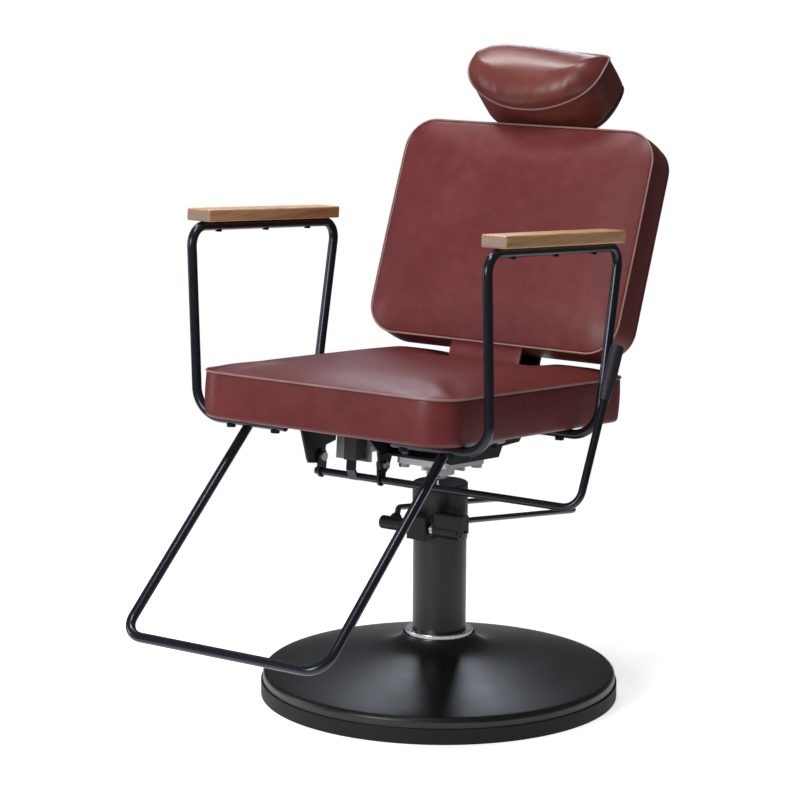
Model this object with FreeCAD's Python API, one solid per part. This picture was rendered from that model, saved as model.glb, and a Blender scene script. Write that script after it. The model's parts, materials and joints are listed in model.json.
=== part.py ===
import FreeCAD, Part
import math, os
from FreeCAD import Vector, Matrix, Placement, Rotation

os.makedirs("parts", exist_ok=True)

# ---------------------------------------------------------------- driving dimensions (mm)
# Origin: centre of the round base on the floor. +Z up, the chair faces -Y,
# +X is the sitter's left.
PITCH = 4.357            # the whole seat assembly leans back by this angle, degrees
BACK_TILT = 17.1         # backrest slope inside the seat assembly, degrees
HEAD_TILT = 20.64        # headrest slope inside the seat assembly, degrees
BACK_L, BACK_H = 94.0, 600.0      # lower front edge of the backrest

BASE_R = 305.5           # round base
BAND_H = 26.0            # rubber rim band
DOME_T = 2.5
COL_R, COL_WALL = 45.7, 3.0       # pump column
COL_TOP = 369.0
COLLAR_R, COLLAR_Z0 = 47.2, 273.0
RAM_R = 13.0             # lifting ram
STROKE = 160.0
SPIGOT_R = 10.0          # swivel spigot on top of the ram
CYL_RI, CYL_RO = 16.0, 20.0

PEDAL_Y, PEDAL_Z = -60.0, 300.0   # pump pedal shaft
PEDAL_ROD_R = 5.0
PEDAL_X = 80.0
PLUNGER_Y = -31.0

SEAT_W = 245.0           # half width of the seat cushion at its piping
SEAT_L0, SEAT_L1 = -406.0, 176.0
SEAT_R = 54.0
SEAT_PIPE_H, SEAT_TOP_H = 558.0, 575.0
BOARD_H0, BOARD_T = 483.0, 12.0
NOTCH_X, NOTCH_L = 84.0, 78.0     # cut-out for the back's spine bracket

TUBE_R = 8.0             # armrest and footrest tube
ARM_X = 286.1
ARM_TOP_H = 788.5
FOOT_H = 475.0
ARM_FRONT_L, ARM_REAR_L = -336.0, -6.0
PAD_X0, PAD_X1 = 263.0, 309.4
PAD_L0, PAD_L1 = -357.0, 13.0
PAD_H1 = 816.6
FOOTREST_X = 193.0
FOOTREST_L, FOOTREST_BAR_H = -624.5, 161.0

HINGE_L, HINGE_H = 140.0, 467.35  # recline hinge
SHAFT_R = 10.0
LOCK_X, LOCK_H = -128.0, 418.0    # axis of the recline lock
ARM_R = 51.0             # recline arm, hinge to lock pin
ARM_PHI = 20.0           # its angle behind straight down, at rest

LEV_L, LEV_H = -92.0, 393.0       # release lever pivot
BAR_H = 367.0
LEVER_X = 308.0
LEVER_ROD_R = 6.5

BACK_W = 250.0
BACK_S0, BACK_S1 = -8.0, 389.0
BACK_D = 62.0            # depth of the front cushion behind its piping
PANEL_D = 79.0           # depth of the rear panel's back face

EPS = 0.05               # running clearance on radius


# ---------------------------------------------------------------- helpers
def V(x, y, z):
    return Vector(float(x), float(y), float(z))


def in_seat(shape):
    """Shape drawn in (x, l, h) of the seat assembly -> row frame."""
    s = shape.copy()
    s.rotate(V(0, 0, 0), V(1, 0, 0), -PITCH)
    return s


def in_back(shape):
    """Shape drawn in (x, s, -d) of the backrest -> row frame."""
    s = shape.copy()
    s.rotate(V(0, 0, 0), V(1, 0, 0), 90.0 - BACK_TILT)
    s.translate(V(0, BACK_L, BACK_H))
    return in_seat(s)


def back_to_seat(s, d):
    t = math.radians(BACK_TILT)
    return (BACK_L + s * math.sin(t) + d * math.cos(t),
            BACK_H + s * math.cos(t) - d * math.sin(t))


HEAD_L, HEAD_H = back_to_seat(412.0, -36.0)


def in_head(shape):
    """Shape drawn in (x, s', -n') of the headrest -> row frame."""
    s = shape.copy()
    s.rotate(V(0, 0, 0), V(1, 0, 0), 90.0 - HEAD_TILT)
    s.translate(V(0, HEAD_L, HEAD_H))
    return in_seat(s)


def back_to_head(s, d):
    l, h = back_to_seat(s, d)
    t = math.radians(HEAD_TILT)
    l -= HEAD_L
    h -= HEAD_H
    return (l * math.sin(t) + h * math.cos(t), l * math.cos(t) - h * math.sin(t))


def box(x0, x1, y0, y1, z0, z1):
    return Part.makeBox(x1 - x0, y1 - y0, z1 - z0, V(x0, y0, z0))


def cyl(r, z0, z1, x=0.0, y=0.0):
    return Part.makeCylinder(r, z1 - z0, V(x, y, z0), V(0, 0, 1))


def cylx(r, x0, x1, y, z):
    return Part.makeCylinder(r, x1 - x0, V(x0, y, z), V(1, 0, 0))


def cyly(r, y0, y1, x, z):
    return Part.makeCylinder(r, y1 - y0, V(x, y0, z), V(0, 1, 0))


def ring(ro, ri, z0, z1):
    return cyl(ro, z0, z1).cut(cyl(ri, z0 - 1, z1 + 1))


def fuse(*shapes):
    a = shapes[0]
    if len(shapes) > 1:
        a = a.multiFuse(list(shapes[1:]))
    return a.removeSplitter()


def hexz(af, z0, z1, x, y):
    r = af / math.sqrt(3.0)
    pts = [V(x + r * math.cos(math.radians(60 * i + 30)), y + r * math.sin(math.radians(60 * i + 30)), z0)
           for i in range(7)]
    return Part.Face(Part.makePolygon(pts)).extrude(V(0, 0, z1 - z0))


def hexx(af, x0, x1, y, z):
    r = af / math.sqrt(3.0)
    pts = [V(x0, y + r * math.cos(math.radians(60 * i + 30)), z + r * math.sin(math.radians(60 * i + 30)))
           for i in range(7)]
    return Part.Face(Part.makePolygon(pts)).extrude(V(x1 - x0, 0, 0))


def plate_x(pts, x0, x1):
    """Flat plate between x0 and x1 with a (y, z) outline."""
    w = Part.makePolygon([V(x0, p[0], p[1]) for p in pts] + [V(x0, pts[0][0], pts[0][1])])
    return Part.Face(w).extrude(V(x1 - x0, 0, 0))


def rod(points, radii, r):
    """Round bar along straight runs joined by tangent arcs."""
    P = [V(*p) for p in points]
    pieces = []
    start = P[0]
    for i in range(1, len(P)):
        a, b = P[i - 1], P[i]
        d = (b - a).normalize()
        if i < len(P) - 1:
            e = (P[i + 1] - b).normalize()
            turn = d.getAngle(e)
            R = radii[i - 1]
            t = R * math.tan(turn / 2.0)
            end = b - d * t
            L = (end - start).Length
            pieces.append(Part.makeCylinder(r, L, start, d))
            axis = d.cross(e).normalize()
            centre = end + axis.cross(d) * R
            face = Part.Face(Part.Wire(Part.Circle(end, d, r).toShape()))
            pieces.append(face.revolve(centre, axis, math.degrees(turn)))
            start = b + e * t
        else:
            pieces.append(Part.makeCylinder(r, (b - start).Length, start, d))
    return fuse(*pieces)


def rrect(x0, x1, y0, y1, r, z):
    """Rounded rectangle wire at height z."""
    k = r * (1 - math.sqrt(0.5))
    c = []
    def line(a, b):
        c.append(Part.LineSegment(a, b).toShape())
    def arc(a, m, b):
        c.append(Part.Arc(a, m, b).toShape())
    line(V(x0 + r, y0, z), V(x1 - r, y0, z))
    arc(V(x1 - r, y0, z), V(x1 - k, y0 + k, z), V(x1, y0 + r, z))
    line(V(x1, y0 + r, z), V(x1, y1 - r, z))
    arc(V(x1, y1 - r, z), V(x1 - k, y1 - k, z), V(x1 - r, y1, z))
    line(V(x1 - r, y1, z), V(x0 + r, y1, z))
    arc(V(x0 + r, y1, z), V(x0 + k, y1 - k, z), V(x0, y1 - r, z))
    line(V(x0, y1 - r, z), V(x0, y0 + r, z))
    arc(V(x0, y0 + r, z), V(x0 + k, y0 + k, z), V(x0 + r, y0, z))
    return Part.Wire(c)


def stack(sections):
    """Solid through rounded rectangles (x0, x1, y0, y1, r, z)."""
    return Part.makeLoft([rrect(*s) for s in sections], True, True)


def helix_spring(mean_r, wire_r, length, turns):
    """Coil spring along +Z from 0 to length."""
    pitch = (length - 2 * wire_r) / turns
    h = Part.makeHelix(pitch, pitch * turns, mean_r)
    h.translate(V(0, 0, wire_r))
    edge0 = h.Edges[0]
    p0 = edge0.valueAt(edge0.FirstParameter)
    t0 = edge0.tangentAt(edge0.FirstParameter)
    prof = Part.Wire(Part.Circle(p0, t0, wire_r).toShape())
    return Part.Wire(h.Edges).makePipeShell([prof], True, True)


nodes = {}


def put(name, shape):
    nodes[name] = shape


# ---------------------------------------------------------------- base
PLATE_R, PLATE_T = 265.0, 14.0
base_plate = cyl(PLATE_R, 0, PLATE_T)

# rim band: a rubber L section, its wall round the dome's edge and its foot under it
band = ring(BASE_R, 302.55, 3.0, BAND_H).fuse(ring(BASE_R, PLATE_R, 0, 3.0)).removeSplitter()
band = band.makeFillet(1.2, [e for e in band.Edges if len(e.Vertexes) == 1 and abs(e.BoundBox.ZMin - BAND_H) < 0.01
                             and abs(e.BoundBox.XMax - BASE_R) < 0.01])
put("base_rim_band", band)

# dome: spun steel shell; a short wall, a rounded lip, a low convex skirt and a concave neck
OUT = [(294.5, 44.0), (274.0, 48.5), (242.0, 54.5), (200.0, 62.0), (160.0, 69.0), (125.0, 75.5), (98.0, 82.0),
       (80.0, 89.0), (69.0, 97.0), (63.0, 106.0)]


def offset_pts(pts, t):
    o = []
    for i, (r, z) in enumerate(pts):
        a = pts[max(i - 1, 0)]
        b = pts[min(i + 1, len(pts) - 1)]
        dx, dz = b[0] - a[0], b[1] - a[1]
        n = math.hypot(dx, dz)
        nx, nz = dz / n, -dx / n       # outward normal, up and away from the axis
        o.append((r - nx * t, z - nz * t))
    return o


def spline(pts):
    c = Part.BSplineCurve()
    c.interpolate([V(p[0], 0, p[1]) for p in pts])
    return c.toShape()


INN = offset_pts(OUT, DOME_T)
INN[-1] = (OUT[-1][0] - DOME_T, OUT[-1][1])
lip = Part.Arc(V(302.5, 0, 35.0), V(300.4, 0, 40.6), V(OUT[0][0], 0, OUT[0][1])).toShape()
lip_in = Part.Arc(V(300.0, 0, 35.0), V(298.4, 0, 38.9), V(INN[0][0], 0, INN[0][1])).toShape()
prof = Part.Wire(Part.__sortEdges__([
    Part.LineSegment(V(300.0, 0, 3.0), V(302.5, 0, 3.0)).toShape(),
    Part.LineSegment(V(302.5, 0, 3.0), V(302.5, 0, 35.0)).toShape(),
    lip,
    spline(OUT),
    Part.LineSegment(V(OUT[-1][0], 0, OUT[-1][1]), V(INN[-1][0], 0, INN[-1][1])).toShape(),
    spline(INN),
    lip_in,
    Part.LineSegment(V(300.0, 0, 35.0), V(300.0, 0, 3.0)).toShape(),
]))
put("base_dome", Part.Face(prof).revolve(V(0, 0, 0), V(0, 0, 1), 360))

# column: tube with a welded bottom flange, window at the front for the pump cam
FLANGE_R, FLANGE_T = 75.0, 10.0
window = box(-13, 13, -60, -35, 284, 318)
column = fuse(ring(COL_R, COL_R - COL_WALL, PLATE_T, 361.0),
              ring(FLANGE_R, COL_R - COL_WALL, PLATE_T, PLATE_T + FLANGE_T))
bolt_xy = [(62.0 * math.cos(math.radians(60 * i)), 62.0 * math.sin(math.radians(60 * i))) for i in range(6)]
bolts = []
for x, y in bolt_xy:
    column = column.cut(cyl(5.25, PLATE_T - 1, PLATE_T + FLANGE_T + 1, x, y))
    base_plate = base_plate.cut(cyl(5.0, 3.0, PLATE_T + 1, x, y))
    bolts.append(fuse(cyl(5.0, 4.0, PLATE_T + FLANGE_T, x, y),
                      hexz(16.0, PLATE_T + FLANGE_T, PLATE_T + FLANGE_T + 6.4, x, y)))
column = column.cut(window)
put("column_tube", column)
put("base_plate", base_plate)
put("base_bolts", Part.makeCompound(bolts))

cring = ring(58.0, COL_R, 106.0, 114.0)
cring = cring.makeFillet(2.2, [e for e in cring.Edges if abs(e.BoundBox.ZMin - 114.0) < 0.01
                               and abs(e.BoundBox.ZMax - 114.0) < 0.01 and e.BoundBox.XMax > 57])
put("column_ring", cring)

collar = ring(COLLAR_R, COL_R, COLLAR_Z0, 361.0).cut(window)
put("column_collar", collar)

cap = cyl(COLLAR_R, 361.0, COL_TOP)
cap = cap.makeFillet(3.0, [e for e in cap.Edges if len(e.Vertexes) == 1 and abs(e.BoundBox.ZMin - COL_TOP) < 0.01])
cap = cap.cut(cyl(RAM_R + 0.4, 360, 370)).cut(cyl(17.0, 360, 366.0))
put("column_cap", cap)

put("guide_bush", ring(COL_R - COL_WALL, RAM_R + EPS, 325.0, 361.0))
put("wiper_seal", ring(17.0, RAM_R + 0.08, 361.0, 366.0))
put("pump_cylinder", cyl(CYL_RO, 26.0, 325.0).cut(cyl(CYL_RI, 34.0, 326.0)))
put("pump_block", ring(COL_R - COL_WALL, CYL_RO, 236.0, 282.0).cut(cyl(6.0 + EPS, 243.0, 283.0, 0, PLUNGER_Y)))

housing = box(-20, 20, -75, -40, 281, 323)
housing = housing.makeFillet(4.0, [e for e in housing.Edges if abs(e.BoundBox.YMax + 75) < 0.01])
housing = housing.cut(cyl(COLLAR_R, 270, 330))
housing = housing.cut(cylx(7.0 + EPS, -30, 30, PEDAL_Y, PEDAL_Z))
housing = housing.cut(box(-9, 9, -72.5, -40, 287, 313))
put("pump_housing", housing)

# ---------------------------------------------------------------- ram
ram = fuse(cyl(RAM_R, 38.0, 383.0), cyl(SPIGOT_R, 383.0, 409.0))
piston = ring(CYL_RI - EPS, RAM_R, 40.0, 60.0)
groove = ring(CYL_RI + 1, 13.8, 46.5, 53.5)
piston = piston.cut(groove)
put("ram", ram)
put("ram_piston", piston)
put("piston_seal", ring(CYL_RI - 0.02, 13.8, 46.5, 53.5))

# ---------------------------------------------------------------- pump pedal
shaft = cylx(7.0, -78, 78, PEDAL_Y, PEDAL_Z)
cam = fuse(cylx(11.0, -8, 8, PEDAL_Y, PEDAL_Z),
           plate_x([(PEDAL_Y, PEDAL_Z - 5), (PLUNGER_Y, PEDAL_Z - 5), (PLUNGER_Y, PEDAL_Z + 5), (PEDAL_Y, PEDAL_Z + 9)], -8, 8),
           cylx(5.0, -8, 8, PLUNGER_Y, PEDAL_Z))
put("pedal_shaft", fuse(shaft, cam))
clamps = []
for sgn in (-1, 1):
    xa, xb = (31, 79) if sgn > 0 else (-79, -31)
    c = cylx(11.5, xa, xb, PEDAL_Y, PEDAL_Z)
    c = c.makeFillet(3.0, [e for e in c.Edges if len(e.Vertexes) == 1 and abs(abs(e.BoundBox.XMin) - 79) < 0.01])
    if sgn > 0:
        lug = box(33, 89, -69, -48, 300, 332)
        lug = lug.makeFillet(5.0, [e for e in lug.Edges if e.BoundBox.XMax - e.BoundBox.XMin > 50 and e.BoundBox.ZMin > 320])
        c = fuse(c, lug)
    else:
        c = fuse(c, rod([(-52, PEDAL_Y, PEDAL_Z), (-62, PEDAL_Y + 18, PEDAL_Z + 5.4)], [], 10.0))
    c = c.cut(cylx(7.0, -80, 90, PEDAL_Y, PEDAL_Z))
    clamps.append(c)
zr = lambda y: 321.7 - 0.137 * (y + 57.0)
prod = rod([(PEDAL_X, -63, zr(-63)), (PEDAL_X, 338, zr(338)), (-PEDAL_X, 338, zr(338)),
            (-PEDAL_X, -8, zr(-8)), (-48, -64, zr(-64) - 22)], [38, 38, 26], PEDAL_ROD_R)
prod = prod.cut(clamps[0])
clamps[1] = clamps[1].cut(prod)
clamp_set = Part.makeCompound(clamps)
prod = prod.cut(cylx(7.0, -80, 80, PEDAL_Y, PEDAL_Z))
prod = max(prod.Solids, key=lambda s: s.Volume)
put("pedal_clamps", clamp_set)
put("pedal_rod", prod)
spr = helix_spring(9.0, 1.1, 9.0, 3)
spr.rotate(V(0, 0, 0), V(0, 1, 0), 90)
spr.translate(V(21.0, PEDAL_Y, PEDAL_Z))
put("pedal_spring", spr)
put("pump_plunger", fuse(cyl(6.0, 252.0, 292.5, 0, PLUNGER_Y), cyl(3.5, 292.5, 294.5, 0, PLUNGER_Y)))

# ---------------------------------------------------------------- seat mount
plate = stack([(-54, 54, -90, 30, 12, 400.0), (-54, 54, -90, 30, 12, 412.0)])
hub = cyl(24.0, 383.4, 425.0)
cutter = box(-60, 60, -60, 60, 412.0, 440.0)
hub_s = hub.cut(in_seat(box(-80, 80, -120, 120, 411.9, 470)))
ribs = [box(-3, 3, -84, 24, 392.0, 401.0), box(-48, 48, -33.5, -27.5, 392.0, 401.0)]
mount = in_seat(plate)
for rb in ribs:
    mount = mount.fuse(in_seat(rb))
mount = mount.fuse(hub_s)
mount = mount.cut(cyl(13.0, 380, 430))
mount = mount.removeSplitter()
pb = []
for x in (-42, 42):
    for l in (-78, 18):
        mount = mount.cut(in_seat(cyl(5.2, 399, 413, x, l)))
        pb.append(in_seat(fuse(cyl(5.0, 400.0, 424.0, x, l), hexz(16.0, 393.0, 400.0, x, l), hexz(16.0, 416.0, 423.0, x, l))))
put("seat_hub", mount)
put("hub_bush", ring(13.0, SPIGOT_R + EPS, 383.4, 410.0))
put("plate_bolts", Part.makeCompound(pb))

# ---------------------------------------------------------------- seat frame (welded steel channel)
side = [(-150, 483), (-150, 442), (-108, 412), (40, 412), (50, 430), (104, 433), (122, 452), (HINGE_L, 447.5), (158, 456),
        (160, HINGE_H), (157, 483)]
fr = [box(-72, 72, -100, 40, 412, 416)]
for sgn in (-1, 1):
    a, b = (68, 72) if sgn > 0 else (-72, -68)
    fr.append(plate_x(side, a, b))
    fr.append(cylx(20.0, a, b, HINGE_L, HINGE_H))
    a, b = (70, 98) if sgn > 0 else (-98, -70)
    fr.append(box(a, b, -150, 60, 479, 483))
frame = fuse(*fr)
for sgn in (-1, 1):
    frame = frame.cut(cylx(14.0, 60 * sgn if sgn > 0 else -80, 80 if sgn > 0 else -60, HINGE_L, HINGE_H))
for x in (-42, 42):
    for l in (-78, 18):
        frame = frame.cut(cyl(5.2, 411, 417, x, l))
put("seat_frame", frame)
put("hinge_bushes", Part.makeCompound([in_seat(cylx(14.0, a, b, HINGE_L, HINGE_H).cut(cylx(SHAFT_R + EPS, a - 1, b + 1, HINGE_L, HINGE_H)))
                                       for a, b in ((-76, -64), (64, 76))]))

# ---------------------------------------------------------------- seat board and cushion
def notch(h0, h1, grow=0.0):
    return box(-NOTCH_X - grow, NOTCH_X + grow, NOTCH_L - grow, SEAT_L1 + 30, h0, h1)

INSET = 9.0
board = stack([(-SEAT_W + INSET, SEAT_W - INSET, SEAT_L0 + INSET, SEAT_L1 - INSET, SEAT_R - INSET, BOARD_H0),
               (-SEAT_W + INSET, SEAT_W - INSET, SEAT_L0 + INSET, SEAT_L1 - INSET, SEAT_R - INSET, BOARD_H0 + BOARD_T)])
board = board.cut(notch(400, 600, INSET))
pocket = board.copy()


def seat_sec(i, z):
    return (-SEAT_W + i, SEAT_W - i, SEAT_L0 + i, SEAT_L1 - i, max(SEAT_R - i * 0.45, 20.0), z)


cushion = stack([seat_sec(2.0, BOARD_H0), seat_sec(0.0, BOARD_H0 + 14), seat_sec(0.0, SEAT_PIPE_H),
                 seat_sec(22.0, 568.0), seat_sec(66.0, SEAT_TOP_H)])
cushion = cushion.cut(notch(400, 700, 0.0))
cushion = cushion.cut(pocket)
put("seat_cushion", in_seat(cushion))

# ---------------------------------------------------------------- armrests
screws = []
under = []


def m8_up(x, l, h_under, top):
    """M8 bolt from below: hex head under h_under, shank up to top."""
    return in_seat(fuse(cyl(4.0, h_under, top, x, l), hexz(13.0, h_under - 5.3, h_under, x, l)))


for side_name, sgn in (("left", 1), ("right", -1)):
    X = ARM_X * sgn
    tube = rod([(105 * sgn, ARM_FRONT_L, FOOT_H), (X, ARM_FRONT_L, FOOT_H), (X, -373.5, ARM_TOP_H),
                (X, 34.2, ARM_TOP_H), (X, ARM_REAR_L, FOOT_H), (105 * sgn, ARM_REAR_L, FOOT_H)],
               [47, 30, 30, 47], TUBE_R)
    for l in (ARM_FRONT_L, ARM_REAR_L):
        for x in (126 * sgn, 216 * sgn):
            tube = tube.cut(cyl(4.2, FOOT_H - 10, FOOT_H + 10, x, l))
            # flat seat for the bolt head on the underside of the foot
            tube = tube.cut(box(x - 8, x + 8, l - 9, l + 9, FOOT_H - TUBE_R - 1, FOOT_H - TUBE_R + 0.8))
            under.append(m8_up(x, l, FOOT_H - TUBE_R + 0.8, BOARD_H0 + 9))
            board = board.cut(cyl(4.0, BOARD_H0 - 1, BOARD_H0 + 9.5, x, l))
    pad = box(PAD_X0, PAD_X1, PAD_L0, PAD_L1, ARM_TOP_H + TUBE_R, PAD_H1) if sgn > 0 else \
        box(-PAD_X1, -PAD_X0, PAD_L0, PAD_L1, ARM_TOP_H + TUBE_R, PAD_H1)
    pad = pad.makeFillet(3.0, pad.Edges)
    for l in (-300.0, -170.0, -50.0):
        tube = tube.cut(cyl(3.1, ARM_TOP_H - 10, ARM_TOP_H + 10, X, l))
        tube = tube.cut(cyl(5.6, ARM_TOP_H - 10, ARM_TOP_H - TUBE_R + 0.8, X, l))
        pad = pad.cut(cyl(3.0, ARM_TOP_H + TUBE_R - 1, ARM_TOP_H + TUBE_R + 13, X, l))
        screws.append(in_seat(fuse(cyl(3.0, ARM_TOP_H - TUBE_R, ARM_TOP_H + TUBE_R + 12.5, X, l),
                                   cyl(5.4, ARM_TOP_H - TUBE_R - 2.4, ARM_TOP_H - TUBE_R + 0.8, X, l))))
    put("armrest_tube_" + side_name, in_seat(tube))
    put("armrest_pad_" + side_name, in_seat(pad))
put("armrest_pad_screws", Part.makeCompound(screws))

# ---------------------------------------------------------------- footrest
fx = FOOTREST_X
foot = rod([(-fx, -150, FOOT_H), (-fx, -310.5, FOOT_H), (-fx, FOOTREST_L, FOOTREST_BAR_H), (fx, FOOTREST_L, FOOTREST_BAR_H),
            (fx, -310.5, FOOT_H), (fx, -150, FOOT_H)], [30, 36, 36, 30], TUBE_R)
for x in (-fx, fx):
    for l in (-175.0, -265.0):
        foot = foot.cut(cyl(4.2, FOOT_H - 10, FOOT_H + 10, x, l))
        foot = foot.cut(box(x - 9, x + 9, l - 8, l + 8, FOOT_H - TUBE_R - 1, FOOT_H - TUBE_R + 0.8))
        under.append(m8_up(x, l, FOOT_H - TUBE_R + 0.8, BOARD_H0 + 9))
        board = board.cut(cyl(4.0, BOARD_H0 - 1, BOARD_H0 + 9.5, x, l))
put("footrest_tube", in_seat(foot))

for x in (-86, 86):
    for l in (-135.0, 45.0):
        frame = frame.cut(cyl(4.2, 470, 484, x, l))
        under.append(m8_up(x, l, 479.0, BOARD_H0 + 9))
        board = board.cut(cyl(4.0, BOARD_H0 - 1, BOARD_H0 + 9.5, x, l))

# ---------------------------------------------------------------- recline lock and release
# hangers of the release lever
hl = plate_x([(-168, 483), (-42, 483), (-50, 417), (-78.5, 411), (-79, 393), (LEV_L, LEV_H - 13), (-106, 382), (-126, 384), (-130, 390)],
             -209, -205)
hl = fuse(hl, cylx(13.0, -209, -205, LEV_L, LEV_H), box(-205, -186, -107, -30, 479, 483), box(-209, -205, -42, -30, 479, 483))
hl = hl.cut(cylx(5.0, -215, -200, LEV_L, LEV_H))
hr = fuse(plate_x([(-118, 468), (-62, 468), (-66, 422), (LEV_L + 15, LEV_H), (LEV_L, LEV_H - 13), (LEV_L - 15, LEV_H), (-114, 422)], -76, -72),
          cylx(13.0, -76, -72, LEV_L, LEV_H))
hr = hr.cut(cylx(5.0, -80, -60, LEV_L, LEV_H))
for (l, h) in ((-104, 455), (-78, 455)):
    hr = hr.cut(cylx(3.0, -80, -60, l, h))
    frame = frame.cut(cylx(3.0, -80, -60, l, h))
hl_bolts = []
for l in (-92.0, -45.0):
    hl = hl.cut(cyl(4.2, 478, 484, -195, l))
    under.append(m8_up(-195, l, 479.0, BOARD_H0 + 9))
    board = board.cut(cyl(4.0, BOARD_H0 - 1, BOARD_H0 + 9.5, -195, l))
put("lever_hanger_left", in_seat(hl))
put("lever_hanger_right", in_seat(hr))
pv = [fuse(cylx(5.0, -209, -200.4, LEV_L, LEV_H), cylx(8.0, -200.4, -196.0, LEV_L, LEV_H), hexx(13.0, -214.0, -209.0, LEV_L, LEV_H)),
      fuse(cylx(5.0, -80.8, -72.0, LEV_L, LEV_H), cylx(8.0, -85.0, -80.8, LEV_L, LEV_H), hexx(13.0, -72.0, -66.0, LEV_L, LEV_H))]
for (l, h) in ((-104, 455), (-78, 455)):
    pv.append(fuse(cylx(3.0, -76, -68, l, h), hexx(10.0, -80.0, -76.0, l, h), hexx(10.0, -68.0, -63.0, l, h)))
put("lever_pivot_bolts", Part.makeCompound([in_seat(s) for s in pv]))

lb = fuse(box(-182, -110, -80, -76, 392, 483), box(-182, -110, -80, -46, 479, 483))
lb = lb.cut(cyly(5.0, -81, -75, LOCK_X, LOCK_H))
for x in (-168.0, -122.0):
    lb = lb.cut(cyl(4.2, 478, 484, x, -60))
    under.append(m8_up(x, -60, 479.0, BOARD_H0 + 9))
    board = board.cut(cyl(4.0, BOARD_H0 - 1, BOARD_H0 + 9.5, x, -60))
put("lock_bracket", in_seat(lb))

head = box(-144.5, -119.5, -110.8, -80, 396, 441)
head = head.makeFillet(2.0, [e for e in head.Edges if e.BoundBox.YMax - e.BoundBox.YMin > 15])
head = head.cut(box(-142, -122, -107.8, -95.9, 390, 428.5))      # the lever's finger swings in here
head = head.cut(cyly(3.0 + EPS, -97, -85, LOCK_X, LOCK_H)).cut(cyly(5.0, -86, -79, LOCK_X, LOCK_H))
put("release_head", in_seat(head))
lock_rod = fuse(cyly(5.0, -86, 62, LOCK_X, LOCK_H), cyly(10.1, 52, 62, LOCK_X, LOCK_H))
put("lock_rod", in_seat(lock_rod))
spring = helix_spring(11.4, 1.6, 90.4, 12)
spring.rotate(V(0, 0, 0), V(1, 0, 0), -90)
spring.translate(V(LOCK_X, -75.7, LOCK_H))
put("recline_spring", in_seat(spring))

pin_l = HINGE_L + ARM_R * math.sin(math.radians(ARM_PHI))
pin_h = HINGE_H - ARM_R * math.cos(math.radians(ARM_PHI))
lc = cyly(13.0, 15, 128, LOCK_X, LOCK_H)
lc = lc.cut(cyly(10.15, 27, 122, LOCK_X, LOCK_H)).cut(cyly(5.0 + EPS, 10, 30, LOCK_X, LOCK_H))
eye = plate_x([(120, LOCK_H - 9), (pin_l, LOCK_H - 11), (pin_l, LOCK_H + 11), (120, LOCK_H + 9)], LOCK_X - 4.4, LOCK_X + 4.4)
eye = eye.common(box(-200, 0, 127, 300, 300, 500))
eye = fuse(eye, cylx(11.0, LOCK_X - 4.4, LOCK_X + 4.4, pin_l, LOCK_H))
slot = fuse(cylx(4.4, -150, -100, pin_l, LOCK_H + 2.2), cylx(4.4, -150, -100, pin_l, LOCK_H - 2.2),
            box(-150, -100, pin_l - 4.4, pin_l + 4.4, LOCK_H - 2.2, LOCK_H + 2.2))
lc = fuse(lc, eye).cut(slot)
put("lock_cylinder", in_seat(lc))
put("valve_pin", in_seat(fuse(cyly(3.0, -101, -91.5, LOCK_X, LOCK_H), cyly(4.0, -103, -101, LOCK_X, LOCK_H))))

# release lever: bar, bend, upright; links and finger are welded on
k = 99.0 / 260.0
up = lambda h: LEV_L + k * (h - BAR_H)
lev = rod([(-213.5, LEV_L, BAR_H), (LEVER_X, LEV_L, BAR_H), (LEVER_X, up(603), 603)], [30], LEVER_ROD_R)


def link(x0, x1):
    s = fuse(cylx(12.5, x0, x1, LEV_L, LEV_H), cylx(10.5, x0, x1, LEV_L, BAR_H),
             plate_x([(LEV_L - 12.5, LEV_H), (LEV_L + 12.5, LEV_H), (LEV_L + 10.5, BAR_H), (LEV_L - 10.5, BAR_H)], x0, x1))
    return s.cut(cylx(5.0 + EPS, x0 - 1, x1 + 1, LEV_L, LEV_H))


finger = plate_x([(-96, 361), (-96, 371.5), (-103.1, 380), (-103.1, 423), (-107.1, 423), (-107.1, 378.5)], -141, -123)
lev = fuse(lev, link(-204.7, -200.7), link(-80.5, -76.5), finger)
put("release_lever", in_seat(lev))
g0, gm, g1 = 540.0, 562.0, 628.0
grip = fuse(Part.makeCone(8.2, 11.5, (gm - g0) * math.sqrt(1 + k * k), V(LEVER_X, up(g0), g0), V(0, k, 1)),
            Part.makeCylinder(11.5, (g1 - gm) * math.sqrt(1 + k * k), V(LEVER_X, up(gm), gm), V(0, k, 1)))
grip = grip.makeFillet(4.0, [e for e in grip.Edges if len(e.Vertexes) == 1 and e.Curve.TypeId == "Part::GeomCircle" and e.BoundBox.ZMin > 600])
bore = rod([(LEVER_X, up(500), 500), (LEVER_X, up(603), 603)], [], LEVER_ROD_R)
put("release_grip", in_seat(grip.cut(bore)))

# ---------------------------------------------------------------- recline hinge and back frame
put("hinge_shaft", in_seat(cylx(SHAFT_R, -142, 80, HINGE_L, HINGE_H)))
arms = []
for a, b in ((-140, -134), (-122, -116)):
    arms.append(cylx(14.0, a, b, HINGE_L, HINGE_H))
    arms.append(cylx(9.0, a, b, pin_l, pin_h))
    c, s = math.cos(math.radians(ARM_PHI)), math.sin(math.radians(ARM_PHI))
    arms.append(plate_x([(HINGE_L - 13 * c, HINGE_H - 13 * s), (HINGE_L + 13 * c, HINGE_H + 13 * s),
                         (pin_l + 8.6 * c, pin_h + 8.6 * s), (pin_l - 8.6 * c, pin_h - 8.6 * s)], a, b))
arms.append(cylx(4.0, -143, -113, pin_l, pin_h))
arm = fuse(*arms).cut(cylx(SHAFT_R, -150, -100, HINGE_L, HINGE_H))
put("recline_arm", in_seat(arm))

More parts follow.
